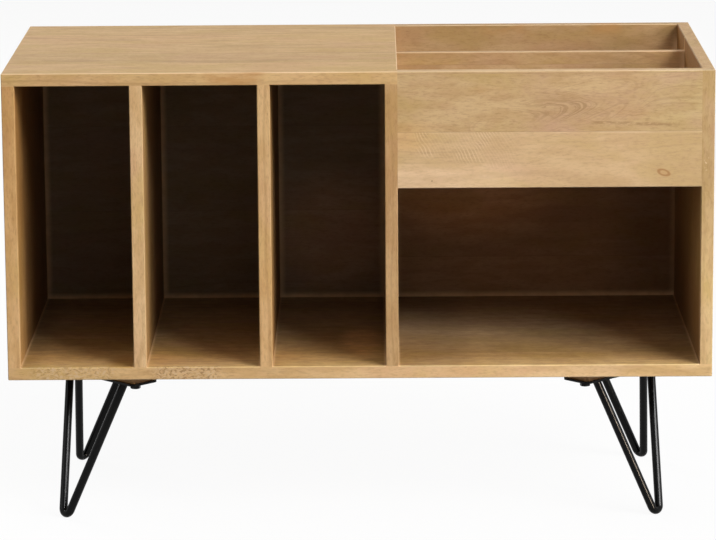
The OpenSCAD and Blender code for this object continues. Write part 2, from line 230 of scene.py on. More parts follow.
# %% [markdown]
# Five scales of noise make up a board: clouds as long as a hand, streaks as long as a finger,
# blotches like thumbnails, fibres a few millimetres wide, and pores as thin as a needle. All are
# stretched along the grain, the blotches least. The rings are noise too, but of one number only,
# the distance from the pith. The pith is never straight, so the rings sway.

# %% how the wood grows
# Blobs of noise in a metre, first along the grain and then across it
SWAY, CLOUDS, BLOTCHES = (2.4, 8), (7, 18), (55, 80)
STREAKS, FIBRES, PORES = (20, 75), (95, 330), (120, 1500)
RINGS = 150
# The pith in metres: how far aside it may lie, how deep it lies at least, and how much deeper
PITH_ASIDE, PITH_DEPTH, PITH_DEEPER = 0.10, 0.025, 0.05
# How far the rings sway aside and in depth, and how far the fibres follow them
RING_SWAY, RING_DIP, FIBRE_SWAY = 0.07, 0.06, 0.03
# Where the glue line between two staves starts to show, and where it is full
GLUE_EDGE, GLUE_FULL = 0.0009, 0.0002
# How far apart two staves may have been cut: metres along the log, and rings
LOG_SHIFT, RING_SHIFT = 7, 20
# How squarely a face looks along an axis where it starts to count, and where it counts in full: as
# a face of that side, as end grain, and, for the axis it is nearest to, as a bevel
FACING, END_GRAIN, BEVEL = (0.3, 0.7), (0.8, 0.95), (0.92, 0.8)
# How deep the pores and fibres are in metres, and how much of that is shown
RELIEF, RELIEF_SHOWN = 0.0004, 0.22
print("rings to a metre:", RINGS)


# %% a board cut from the log
class Timber:
    """The wood of one board: wires for its colour, height and roughness, not yet on the shader."""

    def __init__(self, name, grain, wide, seed, stave, tint, shift=0.5, figure=None, turn=0.0):
        self.piece = node[name]
        self.material = bpy.data.materials.new(name + "_wood")
        self.material.use_nodes = True
        self.shader = self.material.node_tree.nodes["Principled BSDF"]
        start = Wire(self.material.node_tree)
        place = start.node("ShaderNodeTexCoord", {}, {}, "Object")
        normal = start.node("ShaderNodeTexCoord", {}, {}, "Normal")
        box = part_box(name)
        middle = (box[0] + box[1]) / 2
        if turn:
            about = {"rotation_type": "Z_AXIS"}
            place = start.node("ShaderNodeVectorRotate", about,
                               {"Vector": place, "Center": middle, "Angle": turn})
            normal = start.node("ShaderNodeVectorRotate", about, {"Vector": normal, "Angle": turn})
        self.x, self.y, self.z = split(place)
        self.normals = dict(zip(AXES, split(normal)))
        ways = dict(zip(AXES, (self.x - middle.x, self.y - middle.y, self.z - middle.z)))
        thick = next(axis for axis in AXES if axis not in (grain, wide))
        self.along, self.wide, self.thick = ways[grain], ways[wide], ways[thick]
        self.end = step(abs(self.normals[grain]), *END_GRAIN)
        sides = [abs(self.normals[axis]) for axis in AXES]
        self.bevel = step(most(most(sides[0], sides[1]), sides[2]), *BEVEL)
        self.pick_stave(seed, stave, shift)
        self.grow(seed, figure)
        self.stain(tint)

    def facing(self, axis, sign=1):
        """1 on faces that look along the axis (sign 1), against it (-1) or either way (0)."""
        part = self.normals[axis]
        return step(part * sign if sign else abs(part), *FACING)

    def speckle(self, level, upright, detail, out="Factor"):
        """Noise that ignores the grain, with its blobs to a metre: level and upright."""
        return mottle(vector(self.x * level, self.y * level, self.z * upright), detail, out)

    def noise(self, scale, wide, detail, seed=0.0, **more):
        """Noise stretched along the grain, with its blobs to a metre: along and across."""
        place = vector(self.log * scale[0], wide * scale[1], self.thick * scale[1] + seed)
        return mottle(place, detail, **more)

    def pick_stave(self, seed, stave, shift):
        """Numbers the staves, and gives each its place in its own log."""
        place = self.wide / stave + shift
        number = place.math("FLOOR", place)
        self.off = self.wide - (number - shift + 0.5) * stave
        draw = number.node("ShaderNodeTexWhiteNoise", {"noise_dimensions": "1D"},
                           {"W": number + seed}, 1)
        self.one, self.two, self.three = split(draw)
        self.glue = step(stave / 2 - abs(self.off), GLUE_EDGE, GLUE_FULL)
        self.log = self.along + self.one * LOG_SHIFT + seed

    def grow(self, seed, figure):
        """Rings, clouds, streaks, blotches, fibres and pores."""
        side, dip, patch = split(self.noise(SWAY, self.off, 2, seed, out="Color"))
        out = self.off + (self.two - 0.5) * PITH_ASIDE + (side - 0.5) * RING_SWAY
        down = self.thick + PITH_DEPTH + self.three * PITH_DEEPER + (dip - 0.5) * RING_DIP
        ring = length(out, down)
        if figure:
            mask, lines = figure(self)
            ring = ring + (lines - ring) * mask
        self.bands = ring.node("ShaderNodeTexNoise", {"noise_dimensions": "1D"},
                               {"W": ring * RINGS + self.one * RING_SHIFT, "Scale": 1.0,
                                "Detail": 2.0, "Roughness": 0.55})
        bend = self.wide + (side - 0.5) * FIBRE_SWAY
        self.streak = self.noise(STREAKS, bend, 3)
        self.fibre = self.noise(FIBRES, bend, 3, roughness=0.65)
        self.blotch = self.noise(BLOTCHES, bend, 2, seed)
        self.pore = step(self.noise(PORES, self.wide, 1), 0.60, 0.70)
        self.olive, self.pink, self.warm = split(self.noise(CLOUDS, bend, 3, seed, out="Color"))
        self.show = step(patch, 0.40, 0.62)

    def stain(self, tint):
        """Sets colour, height and rough from what has grown."""
        self.colour = mix(step(self.streak, 0.36, 0.64), PALE, BODY)
        # Each layer: its noise, the values where it starts and is full, its strength, its colour
        layers = (
            (self.olive, 0.47, 0.63, 0.66, OLIVE),
            (self.pink, 0.49, 0.65, 0.52, PINK),
            (self.warm, 0.58, 0.74, 0.18, RUST),
            (self.blotch, 0.50, 0.70, 0.22, PINK),
            (self.blotch, 0.50, 0.34, 0.22, PALE),
            (self.bands, 0.50, 0.68, self.show * 0.20 + 0.06, DARK),
            (self.fibre, 0.46, 0.72, 0.30, DARK),
        )
        for wire, start, full, strength, colour in layers:
            self.mark(step(wire, start, full) * strength, colour)
        tone = 0.95 + self.one * 0.10
        self.mark(1.0, vector(tone * tint[0], tone * tint[1], tone * tint[2]), "MULTIPLY")
        self.mark(self.pore * 0.30, DARK)
        self.mark(self.glue * 0.30, DARK)
        self.mark(self.end * (0.10 + self.pore * 0.3), DARK)
        flat = step(abs(self.normals["Z"]), 0.2, 0.5)
        self.mark(self.bevel * (0.05 + flat * 0.60), ARRIS)
        self.height = self.fibre * 0.5 + self.bands * 0.3 - self.pore * 0.6 - self.glue
        self.rough = 0.46 + self.fibre * 0.12 + self.pore * 0.15

    def mark(self, mask, colour, how="MIX"):
        """Lays a colour on the wood where the mask is 1."""
        self.colour = mix(mask, self.colour, colour, how)

    def shade(self, mask, times):
        """Multiplies red, green and blue by three numbers where the mask is 1."""
        self.mark(mask, mix(1.0, self.colour, paint(*times), "MULTIPLY"))

    def lay(self, gloss=0.16):
        """Puts the wood on the shader, and the material on the board."""
        ends = {"Strength": RELIEF_SHOWN, "Distance": RELIEF, "Height": self.height}
        bump = self.colour.node("ShaderNodeBump", {}, ends)
        links = self.material.node_tree.links
        for end, wire in (("Base Color", self.colour), ("Roughness", self.rough), ("Normal", bump)):
            links.new(wire.socket, self.shader.inputs[end])
        self.shader.inputs["Specular IOR Level"].default_value = gloss
        self.piece.data.materials.clear()
        self.piece.data.materials.append(self.material)


print("timber: rings, clouds, streaks, blotches, fibres, pores, staves")

# %% [markdown]
# ## Painted shade inside
# Inside the slots and the bay the colour is painted browner and darker from the front edge
# inwards: this is painted shade, deeper the further in. Further in, a second painted shade sets
# the walls and the floors apart: it deepens the walls and takes the warmth off the floors. In the
# corners a thin pale rim is painted. All of it is worked out from each point's place.

# %% deeper stain and pale rims
FRONT = -0.240
FLOOR_TOP = 0.239
RIGHT_WALL = 0.482
WALL_FACES = (-0.482, -0.321, -0.303, -0.142, -0.124, 0.037, 0.055, RIGHT_WALL)
DIVIDER_Y = (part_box("bin_divider")[0].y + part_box("bin_divider")[1].y) / 2
RIM = paint(0.82, 0.57, 0.32)
# Painted shades are numbers that red, green and blue are multiplied by
WARM_PAINTED_SHADE = (0.90, 0.82, 0.60)
WALL_PAINTED_SHADE = (0.82, 0.84, 0.95)
MOUTH_PAINTED_SHADE = (0.64, 0.63, 0.66)
FLOOR_PAINTED_SHADE = (1.08, 1.24, 1.75)
BIN_PAINTED_SHADES = {"right_side_panel": (0.54, 0.40, 0.22), "partition_panel": (0.90, 0.84, 0.72)}
# How far back the warm painted shade is full, on the walls and on the floors
WALL_FULL_Y, FLOOR_FULL_Y = -0.215, -0.17
# Where the second painted shade starts, and where it is full
DEEP_FROM_Y, DEEP_FULL_Y = -0.21, 0.04
# How the pale rim comes and goes: blobs to a metre, its least strength, and how much is added
RIM_BLOBS, RIM_LEAST, RIM_ADDED = 60, 0.55, 0.9


def paint_shade_inside(wood, face, deep, full_y):
    """Paints shade on the faces where the mask face is 1, deeper from the front edge inwards."""
    wood.shade(face * step(wood.y, FRONT + 0.001, full_y), WARM_PAINTED_SHADE)
    wood.shade(face * step(wood.y, DEEP_FROM_Y, DEEP_FULL_Y), deep)


def pale_rim(wood, face, gap, reach, strength):
    """Paints a paler rim on a face, where the gap to a corner is smaller than reach."""
    worn = wood.speckle(RIM_BLOBS, RIM_BLOBS, 2)
    rim = step(gap, reach, reach * 0.1) * face * (RIM_LEAST + worn * RIM_ADDED)
    wood.mark(rim * strength, RIM)


def wall_gap(wood):
    """How far each point is from the nearest wall, to the left or to the right."""
    return least([abs(wood.x - wall) for wall in WALL_FACES])


print("inside faces of the walls at x =", WALL_FACES)

# %% [markdown]
# ## Which way each board's grain runs
# Uprights have their grain up and down, which is why their front edges show fine upright lines.
# Everything that lies flat or runs across has it from left to right. A maker does this so that
# boards that are glued together swell and shrink the same way. No two boards take the stain alike,
# so each upright has a tint of its own, and its lower half another. Where the partition and the
# right side look into the bin they have painted shade, deepest on the right side, with a pale
# line where the divider is let in. The right side has a few pale specks on its front edge, beside
# the bin, where it has chipped.

# %% the uprights
# Each upright: seed, tint, what its lower half is multiplied by, and the way its inner face looks
# along x (0 when both faces are inner ones)
UPRIGHTS = {
    "left_side_panel": (11.0, (0.99, 0.82, 0.57), (1.14, 1.22, 1.40), 1),
    "right_side_panel": (23.0, (0.90, 0.85, 0.71), (1.30, 1.38, 1.38), -1),
    "slot_divider_left": (37.0, (1.14, 1.08, 0.95), (1.04, 1.04, 1.06), 0),
    "slot_divider_right": (41.0, (1.09, 1.00, 0.82), (1.05, 1.02, 1.00), 0),
    "partition_panel": (59.0, (0.85, 0.73, 0.585), (1.06, 1.10, 1.12), 0),
}
UPRIGHT_STAVE = 0.118
# Heights: where the lower half's own tint starts and is full, and where the bin's painted
# shade does
FOOT_FROM, FOOT_FULL = 0.52, 0.32
BAY_TOP, BIN_BOTTOM = 0.500, 0.515
CHIPS = (0.4895, 0.534)
for name, (seed, tint, foot, inward) in UPRIGHTS.items():
    wood = Timber(name, "Z", "Y", seed, UPRIGHT_STAVE, tint)
    wood.shade(step(wood.z, FOOT_FROM, FOOT_FULL), foot)
    face = wood.facing("X", inward)
    # Painted shade where the partition and the right side look into the bin
    if name in BIN_PAINTED_SHADES:
        bin_side = wood.facing("X", inward or 1) * step(wood.z, BAY_TOP, BIN_BOTTOM)
        face = face * (1 - bin_side)
        wood.shade(bin_side, BIN_PAINTED_SHADES[name])
        pale_rim(wood, bin_side, abs(wood.y - DIVIDER_Y), 0.0050, 0.75)
    # Painted shade on the bevels, which catch the lamps
    wood.shade(wood.bevel, (0.87, 0.89, 0.87))
    paint_shade_inside(wood, face, WALL_PAINTED_SHADE, WALL_FULL_Y)
    # Painted shade on the walls just inside the front edge
    wood.shade(face * step(wood.y, FRONT + 0.001, WALL_FULL_Y), MOUTH_PAINTED_SHADE)
    pale_rim(wood, face, abs(wood.z - FLOOR_TOP), 0.0030, 0.35)
    if name == "right_side_panel":
        # Painted shade low on the right side's inner face in the bay
        wood.shade(face * step(wood.z, 0.42, 0.28), (0.72, 0.64, 0.66))
        near_front = step(wood.y, FRONT + 0.02, FRONT + 0.01)
        wood.shade(near_front * step(wood.z, 0.48, 0.52), (1.01, 1.02, 1.10))
        chipped = oval(wood.x, wood.z, CHIPS, (0.0040, 0.020), edge=1.2, full=0.6)
        speck = step(wood.speckle(330, 260, 0), 0.62, 0.72)
        wood.mark(chipped * near_front * speck * 0.6, ARRIS)
    wood.lay()
print("uprights:", len(UPRIGHTS))

# %% [markdown]
# ## The top and the bottom
# The top's front edge has a rusty patch between the first two dividers, and its underside has
# the warm painted shade of the inside. The bottom has painted shade inside: it is darkest at the
# far end and beside some of the walls, and painted light lifts two places. Blotches make its tone
# uneven too. Its front edge is cut from wild wood in two places, where the fibres curl: short dark
# dashes lie there among pale ones.

# %% the top
top = Timber("top_panel", "X", "Y", 5.0, 0.097, (0.91, 0.85, 0.67))
edge = step(top.y, FRONT + 0.004, FRONT + 0.002)
patch = strip(top.x, -0.175, 0.050, 0.030) * (0.35 + step(top.streak, 0.4, 0.6) * 0.6)
# Painted shade on the top's underside, over the slots and the bay
top.shade(top.facing("Z", -1), WARM_PAINTED_SHADE)
top.shade(edge, (1.12, 1.12, 1.14))
top.mark(edge * patch * 0.55, RUST)
top.lay()
print("top laid")

# %% the bottom's inside
bottom = Timber("bottom_panel", "X", "Y", 67.0, 0.104, (1.0, 0.95, 0.85))
x, y = bottom.x, bottom.y
face = bottom.facing("Z")
bottom.shade(bottom.bevel, (0.88, 0.88, 0.84))
paint_shade_inside(bottom, face, FLOOR_PAINTED_SHADE, FLOOR_FULL_Y)
# Each patch: where it is, and what its colour is multiplied by. The first eight are painted
# shade, or painted light where the numbers pass 1; the last two follow the blotches.
FLOOR_PAINTED_LIGHT_SHADE_AND_BLOTCHES = (
    (step(y, -0.18, FRONT), (1.0, 1.01, 0.86)),
    (step(x, 0.03, 0.06) * step(y, FRONT + 0.002, -0.15), (0.80, 0.80, 0.84)),
    (step(y, 0.06, 0.21), (0.80, 0.78, 0.74)),
    (strip(x, 0.090, 0.085, 0.030), (0.80, 0.80, 0.82)),
    (step(x, -0.44, -0.475), (0.80, 0.80, 0.80)),
    (strip(x, -0.335, 0.035, 0.008) * step(y, -0.15, -0.20), (0.80, 0.72, 0.58)),
    (oval(x, y, (0.005, -0.08), (0.045, 0.13)), (1.55, 1.52, 1.50)),
    (oval(x, y, (0.40, -0.05), (0.075, 0.12)), (1.22, 1.20, 1.18)),
    (step(bottom.blotch, 0.46, 0.64), (0.92, 0.90, 0.90)),
    (step(bottom.blotch, 0.50, 0.34), (1.05, 1.04, 1.01)),
)
for where, times in FLOOR_PAINTED_LIGHT_SHADE_AND_BLOTCHES:
    bottom.shade(face * where, times)
pale_rim(bottom, face, wall_gap(bottom), 0.0040, 0.60)
print("patches on the floors:", len(FLOOR_PAINTED_LIGHT_SHADE_AND_BLOTCHES))

# %% the bottom's front edge
edge = step(y, FRONT + 0.006, FRONT + 0.003)
bottom.shade(edge, (1.10, 1.08, 1.0))
bottom.shade(edge * step(x, -0.12, 0.12), (1.14, 1.18, 1.30))
wander = bottom.z + bottom.speckle(110, 110, 1) * 0.012
curl = mottle(vector(x * 150, y * 150, wander * 400), 2, roughness=0.6)
wildest = strip(x, -0.245, 0.060, 0.035)
wild = edge * most(strip(x, -0.405, 0.075, 0.040), wildest)
bottom.mark(wild * step(curl, 0.50, 0.40) * 0.90, PALE)
bottom.mark(wild * step(curl, 0.51, 0.61) * (0.46 + wildest * 0.26), DARK)
bottom.lay()
print("bottom laid")

# %% [markdown]
# ## The bin's front board
# This board is the first thing one sees, so its marks are placed one by one. It's glued up from
# two staves. The upper one was cut beside a branch: its growth lines close in a flame that points
# to the right. The lower one is paler, with pale ripples on the left, where the fibres wave and
# catch the light, and the ring of a small knot on the right.

# %% the flame in the growth lines
FLAME_TIP = (0.333, 0.614)
FLAME_SLOPE, FLAME_CURVE = 0.20, 120.0


def flame(wood):
    """Where the flame is, and the number whose levels are its lines."""
    back = wood.x - FLAME_TIP[0]
    wave = wood.speckle(28, 60, 2) - 0.5
    rise = wood.z - FLAME_TIP[1] - back * FLAME_SLOPE + wave * 0.010
    lines = back * 0.75 + rise * rise * FLAME_CURVE + wave * 0.02
    return oval(back, rise, (-0.050, 0.0), (0.140, 0.040), full=0.55), lines + 0.06


front = Timber("bin_front_board", "X", "Z", 97.0, 0.083, (1.0, 0.95, 0.85), shift=0.042,
               figure=flame)
print("flame tip at x, z =", FLAME_TIP)

# %% the two staves
GLUE_Z = 0.5745
x, z = front.x, front.z
upper = step(z, GLUE_Z - 0.0006, GLUE_Z + 0.0006)
front.shade(upper, (0.97, 0.985, 0.98))
front.mark((1 - upper) * 0.22, paint(0.74, 0.53, 0.32))
below_glue = strip(z, GLUE_Z - 0.0012, 0.0022, 0.0006)
front.mark(below_glue * step(front.streak, 0.36, 0.60) * 0.34, ARRIS)
# Each patch: where it is, and what its colour is multiplied by. The first, on the right end,
# is painted shade.
BOARD_PATCHES = (
    (step(x, 0.36, 0.46), (0.95, 0.95, 0.94)),
    (upper * step(x, 0.36, 0.44), (1.05, 1.11, 1.06)),
    (step(z, 0.540, 0.512) * step(x, 0.27, 0.17), (1.20, 1.24, 1.38)),
    (step(x, 0.13, 0.07) * strip(z, 0.568, 0.028, 0.012), (1.0, 0.94, 0.82)),
    (upper * step(front.olive, 0.47, 0.63) * step(x, 0.18, 0.28), (1.03, 0.99, 1.20)),
)
for where, times in BOARD_PATCHES:
    front.shade(where, times)
heart = upper * oval(x, z, (0.284, 0.609), (0.070, 0.026), edge=1.1)
front.mark(heart * (0.10 + step(front.bands, 0.44, 0.60) * 0.38), DARK)
print("glue line at z =", GLUE_Z)

# %% dark lines above the glue line
LINES_X, LINES_Z, LINES_SLOPE = 0.385, 0.5865, 0.06
tail = z - LINES_Z + (x - 0.36) * LINES_SLOPE + (front.olive - 0.5) * 0.012
dark_lines = strip(tail, 0.0, 0.0040, 0.0010) * strip(x, LINES_X, 0.075, 0.045)
front.mark(dark_lines * step(front.fibre, 0.36, 0.54) * 0.50, DARK)
print("dark lines from x = 0.31 to 0.46")

# %% ripples
RIPPLE_PITCH = 0.0042
RIPPLE_LEAN = math.radians(30)
RIPPLES_X = 0.150
drift, group, _ = split(front.speckle(30, 34, 2, "Color"))
count = x * math.cos(RIPPLE_LEAN) + z * math.sin(RIPPLE_LEAN)
count = (count + front.pink * 0.004 + (drift - 0.5) * 0.010) * (2 * math.pi / RIPPLE_PITCH)
crest = step(count.math("SINE", count), 0.1, 0.9)
sloped = z + (x - RIPPLES_X) * 0.15
rippled = (strip(x, RIPPLES_X, 0.078, 0.062) * step(sloped, 0.526, 0.538) * (1 - upper)
           * (0.25 + step(group, 0.40, 0.58) * 0.75))
front.mark(crest * rippled * 0.36, ARRIS)
front.mark((1 - crest) * rippled * 0.13, DARK)
print("ripples every", RIPPLE_PITCH, "m")

# %% the knot and a pinhole
KNOT, PINHOLE = (0.4288, 0.5155), (0.1031, 0.5053)
KNOT_LONG, KNOT_SHORT = 0.0088, 0.0044
KNOT_DIP = math.radians(18)
dip_x, dip_z = math.cos(KNOT_DIP), math.sin(KNOT_DIP)
long_way = ((x - KNOT[0]) * dip_x - (z - KNOT[1]) * dip_z) / KNOT_LONG
short_way = ((x - KNOT[0]) * dip_z + (z - KNOT[1]) * dip_x) / KNOT_SHORT
reach = length(long_way, short_way)
front.mark(strip(reach, 0.86, 0.38, 0.10) * 0.70, paint(0.33, 0.155, 0.06))
front.mark(step(reach, 1.5, 0.9) * 0.22, RUST)
pinhole = length(x - PINHOLE[0], z - PINHOLE[1])
front.mark(step(pinhole, 0.0013, 0.0007) * 0.8, DARK)
front.lay()
print("knot at x, z =", KNOT)

# %% [markdown]
# ## Inside the bin
# The rear board and the divider are darker and redder than the front. Towards their right ends,
# in the shadow of the right side, they have painted light, and a pale rim is painted in the
# corner with the right side. The rear board has rusty clouds just under its rim.

# %% the rear board and the divider
# Painted light on the right ends of the rear board and the divider, in the right side's shadow
PAINTED_LIGHT_END = (1.45, 1.45, 1.48)
END_FROM, END_FULL = 0.38, 0.47
CORNER_REACH = 0.0100
RUSTY_CLOUDS = ((0.225, 0.055), (0.375, 0.030))
rear = Timber("bin_rear_board", "X", "Z", 71.0, 0.083, (0.74, 0.67, 0.56))
for middle_x, half in RUSTY_CLOUDS:
    cloud = strip(rear.x, middle_x, half, half * 0.4) * step(rear.z, 0.642, 0.655)
    rear.mark(cloud * step(rear.streak, 0.40, 0.58) * 0.40, RUST)
low = rear.facing("Y", -1) * step(rear.z, 0.652, 0.622)
rear.shade(low * step(rear.x, END_FROM, END_FULL), PAINTED_LIGHT_END)
pale_rim(rear, low, abs(rear.x - RIGHT_WALL), CORNER_REACH, 1.00)
rear.lay()
divider = Timber("bin_divider", "X", "Z", 83.0, 0.090, (0.76, 0.69, 0.58))
divider.shade(step(divider.x, END_FROM, END_FULL), PAINTED_LIGHT_END)
divider.shade(step(divider.z, 0.640, 0.615), (1.16, 1.20, 1.28))
pale_rim(divider, divider.facing("Y", 0), abs(divider.x - RIGHT_WALL), CORNER_REACH, 1.00)
divider.lay()
print("bin boards laid")

# %% [markdown]
# ## The back panels and the bin's floor
# These are thin glued boards. The face that looks into the case has painted shade, and the face
# behind is left plain. One wide cloud on each back panel is painted light, and the bay's panel
# has painted shade towards the right. The pale rims follow the corners that they make with the
# walls and with the bottom.

# %% the inner boards
# Each inner board: the way its staves lie side by side, seed, width of a stave, and the painted
# shade on its inner face
INNER = {
    "back_panel_slots": ("Z", 103.0, 0.131, (0.60, 0.68, 0.90)),
    "back_panel_bay": ("Z", 109.0, 0.131, (0.80, 0.76, 0.87)),
    "bin_floor_panel": ("Y", 127.0, 0.120, (0.75, 0.74, 0.75)),
}
# Each back panel: its cloud of painted light, with its middle, half sizes and factors, and the
# strength of its upright rims
BACKS = {
    "back_panel_slots": ((-0.040, 0.340), (0.14, 0.13), (1.60, 1.40, 1.32), 0.70),
    "back_panel_bay": ((0.155, 0.410), (0.20, 0.10), (1.62, 1.52, 1.44), 0.30),
}
for name, (wide, seed, stave, deep) in INNER.items():
    wood = Timber(name, "X", wide, seed, stave, (0.83, 0.76, 0.64))
    face = wood.facing("Y", -1) if name in BACKS else wood.facing("Z")
    # Painted shade on the face that looks into the case
    wood.shade(face, deep)
    if name in BACKS:
        middle, half, lighter, strength = BACKS[name]
        # Painted light in a wide cloud
        wood.shade(face * oval(wood.x, wood.z, middle, half), lighter)
        # Painted shade towards the right of the bay's back panel
        if name == "back_panel_bay":
            wood.shade(face * step(wood.x, 0.36, 0.44), (0.74, 0.72, 0.72))
        pale_rim(wood, face, wall_gap(wood), 0.0110, strength)
        pale_rim(wood, face, abs(wood.z - FLOOR_TOP), 0.0105, 0.95)
    wood.lay(gloss=0.1)
print("inner boards:", len(INNER))

# %% [markdown]
# ## Leg blocks and dowels
# Each leg is bolted to a block that lies across its corner, so the block's grain runs at 45
# degrees to the case. The texture is turned with it: the place is rotated about the block's
# middle before the wood is worked out. The dowels are beech, hidden in their holes.

# %% blocks and dowels
# A stave wider than the board means that there is no glue line in it
BLOCK_STAVE, DOWEL_STAVE = 0.3, 2.0
for end in ("front", "rear"):
    for side in ("left", "right"):
        name = f"leg_block_{end}_{side}"
        angle = math.radians(45 if (end == "front") == (side == "left") else -45)
        seed = 131.0 + len(name)
        Timber(name, "X", "Y", seed, BLOCK_STAVE, (0.9, 0.82, 0.7), turn=angle).lay()
for name in ("case_dowels", "bin_dowels"):
    Timber(name, "X", "Y", 151.0, DOWEL_STAVE, (1.1, 1.1, 1.05)).lay()
print("leg blocks: 4, sets of dowels: 2")

# %% [markdown]
# ## Steel
# The legs are powder coated: black, satin, with the faint orange-peel texture of melted powder.
# The small screws are zinc plated. One function makes both, because they differ only in numbers.

# %% black coat and zinc
# The coat's texture: blobs to a metre, fine and broad, and its depth in metres
PEEL_FINE, PEEL_BROAD, PEEL_DEPTH = 900.0, 45.0, 0.0002


def steel(name, colour, metallic, rough, peel, gloss):
    """A material for bare or coated steel, with the strength of its surface texture as peel."""
    material = bpy.data.materials.new(name)
    material.use_nodes = True
    shader = material.node_tree.nodes["Principled BSDF"]
    place = Wire(material.node_tree).node("ShaderNodeTexCoord", {}, {}, "Object")
    fine, broad = (place.node("ShaderNodeTexNoise", {}, {"Vector": place, "Scale": scale,
                                                         "Detail": detail})
                   for scale, detail in ((PEEL_FINE, 2.0), (PEEL_BROAD, 3.0)))
    lighter = paint(*(part * 1.6 for part in colour[:3]))
    coat = mix(step(broad, 0.4, 0.7) * 0.5, colour, lighter)
    relief = {"Strength": peel, "Distance": PEEL_DEPTH, "Height": fine}
    bump = fine.node("ShaderNodeBump", {}, relief)
    ends = {"Base Color": coat, "Roughness": rough + broad * 0.1, "Normal": bump}
    for end, wire in ends.items():
        material.node_tree.links.new(wire.socket, shader.inputs[end])
    shader.inputs["Metallic"].default_value = metallic
    shader.inputs["Specular IOR Level"].default_value = gloss
    return material


black_steel = steel("black_steel", paint(0.003, 0.003, 0.003), 0.0, 0.15, 0.15, 0.10)
zinc_steel = steel("zinc_steel", paint(0.55, 0.55, 0.53), 1.0, 0.30, 0.10, 0.5)
for name, piece in node.items():
    if name.startswith(("leg_plate", "leg_rod", "leg_bolts")):
        piece.data.materials.clear()
        piece.data.materials.append(black_steel)
print("steel: black coat and zinc")

# %% [markdown]
# ## Weld beads
# Each rod's two arms are welded to the plate. A weld is a row of small overlapping pools, so the
# bead is a ring with ripples. It starts as a circle that is spun about the arm, and the ripples
# push its points in and out. The rod leans, so the ring is sheared along with it.

# %% one ring for each arm
# In the corner's own directions: how far each arm is from the middle of the leg, how far both are
# from the corner, and the height of the plate's lower face
ARM_SPREAD, ARM_V, PLATE_Z = 0.060, 0.167, 0.200
# The lean of the leg's plane, and the angle of each arm within it
LEAN, SPLAY = math.radians(18.5), math.radians(14.74)
BEAD_REACH, BEAD_R = 0.0076, 0.0017
BEAD_DOWN = BEAD_R * 0.45
SCALES, SCALE_PUSH, SCALE_LAG = 14, 0.16, 1.2
LOBES, LOBE_PUSH = 5, 0.05


def bead_mesh():
    """A closed ring whose ripples follow each other like the scales of a fish."""
    build = bmesh.new()
    section = bmesh.ops.create_circle(build, segments=8, radius=BEAD_R)["verts"]
    bmesh.ops.rotate(build, verts=section, matrix=Matrix.Rotation(math.pi / 2, 3, "X"))
    bmesh.ops.translate(build, verts=section, vec=(BEAD_REACH, 0, -BEAD_DOWN))
    edges = list({edge for vert in section for edge in vert.link_edges})
    bmesh.ops.spin(build, geom=section + edges, cent=(0, 0, 0), axis=(0, 0, 1),
                   angle=2 * math.pi, steps=56, use_merge=True)
    for vert in build.verts:
        angle = math.atan2(vert.co.y, vert.co.x)
        ring = Vector((math.cos(angle), math.sin(angle), 0)) * BEAD_REACH
        ring.z = -BEAD_DOWN
        lag = SCALE_LAG * (vert.co - ring).z / BEAD_R
        push = 1 + SCALE_PUSH * math.sin(SCALES * angle + lag) + LOBE_PUSH * math.sin(LOBES * angle)
        vert.co = ring + (vert.co - ring) * push
    bmesh.ops.remove_doubles(build, verts=build.verts, dist=1e-6)
    bmesh.ops.recalc_face_normals(build, faces=build.faces)
    mesh = bpy.data.meshes.new("weld_bead")
    build.to_mesh(mesh)
    build.free()
    return mesh


print("bead radius:", BEAD_R, "m")

# %% [markdown]
# The four legs are mirror images of one corner, so the rings are placed once in that corner and
# mirrored. A mirror turns a shape inside out, so the normals are worked out again at the end.

# %% all eight rings
def add_copy(build, mesh, matrix):
    """Adds a copy of a mesh to a bmesh, moved by the matrix."""
    before = len(build.verts)
    build.from_mesh(mesh)
    build.verts.ensure_lookup_table()
    bmesh.ops.transform(build, matrix=matrix, verts=build.verts[before:])


def steel_piece(name, build, material):
    """Turns a bmesh into a piece that rides on the case."""
    bmesh.ops.recalc_face_normals(build, faces=build.faces)
    mesh = bpy.data.meshes.new(name)
    build.to_mesh(mesh)
    build.free()
    mesh.materials.append(material)
    for polygon in mesh.polygons:
        polygon.use_smooth = True
    piece = bpy.data.objects.new(name, mesh)
    bpy.context.scene.collection.objects.link(piece)
    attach(piece, "root")
    return piece


CASE_LEFT = -0.5
bead = bead_mesh()
for end, flip_y in (("front", 1), ("rear", -1)):
    for side, flip_x in (("left", 1), ("right", -1)):
        build = bmesh.new()
        corner = (Matrix.Diagonal((flip_x, flip_y, 1, 1))
                  @ Matrix.Translation((CASE_LEFT, FRONT, 0))
                  @ Matrix.Rotation(math.radians(-45), 4, "Z"))
        for sign in (-1, 1):
            lean = Matrix.Identity(4)
            lean[0][2] = sign * math.tan(SPLAY) / math.cos(LEAN)
            lean[1][2] = math.tan(LEAN)
            spot = Matrix.Translation((sign * ARM_SPREAD, ARM_V, PLATE_Z))
            add_copy(build, bead, corner @ spot @ lean)
        steel_piece(f"weld_beads_{end}_{side}", build, black_steel)
print("weld rings: 8, points each:", len(bead.vertices))

# %% [markdown]
# ## Back screws
# The back panels are held by small countersunk screws with a cross recess. The CAD model has their
# plain bodies. Here each is replaced by one with its recess: the top face is a disc with a
# cross-shaped hole, the hole is pushed in and narrowed, and the rim is drawn out to the cone, the
# shank and the tip.

# %% one screw
HEAD_R, SHANK_R, SCREW_L = 0.003, 0.0015, 0.018
ARM_HALF, ARM_REACH, RECESS = 0.00045, 0.00165, 0.0013


def pull(build, edges, scale, down):
    """Extrudes a loop of edges, scales the new loop about the z axis and moves it down."""
    made = bmesh.ops.extrude_edge_only(build, edges=edges)
    verts = [item for item in made["geom"] if isinstance(item, bmesh.types.BMVert)]
    bmesh.ops.scale(build, vec=(scale, scale, 1), verts=verts)
    bmesh.ops.translate(build, vec=(0, 0, -down), verts=verts)
    return [e for e in made["geom"] if isinstance(e, bmesh.types.BMEdge)
            and e.verts[0] in verts and e.verts[1] in verts]


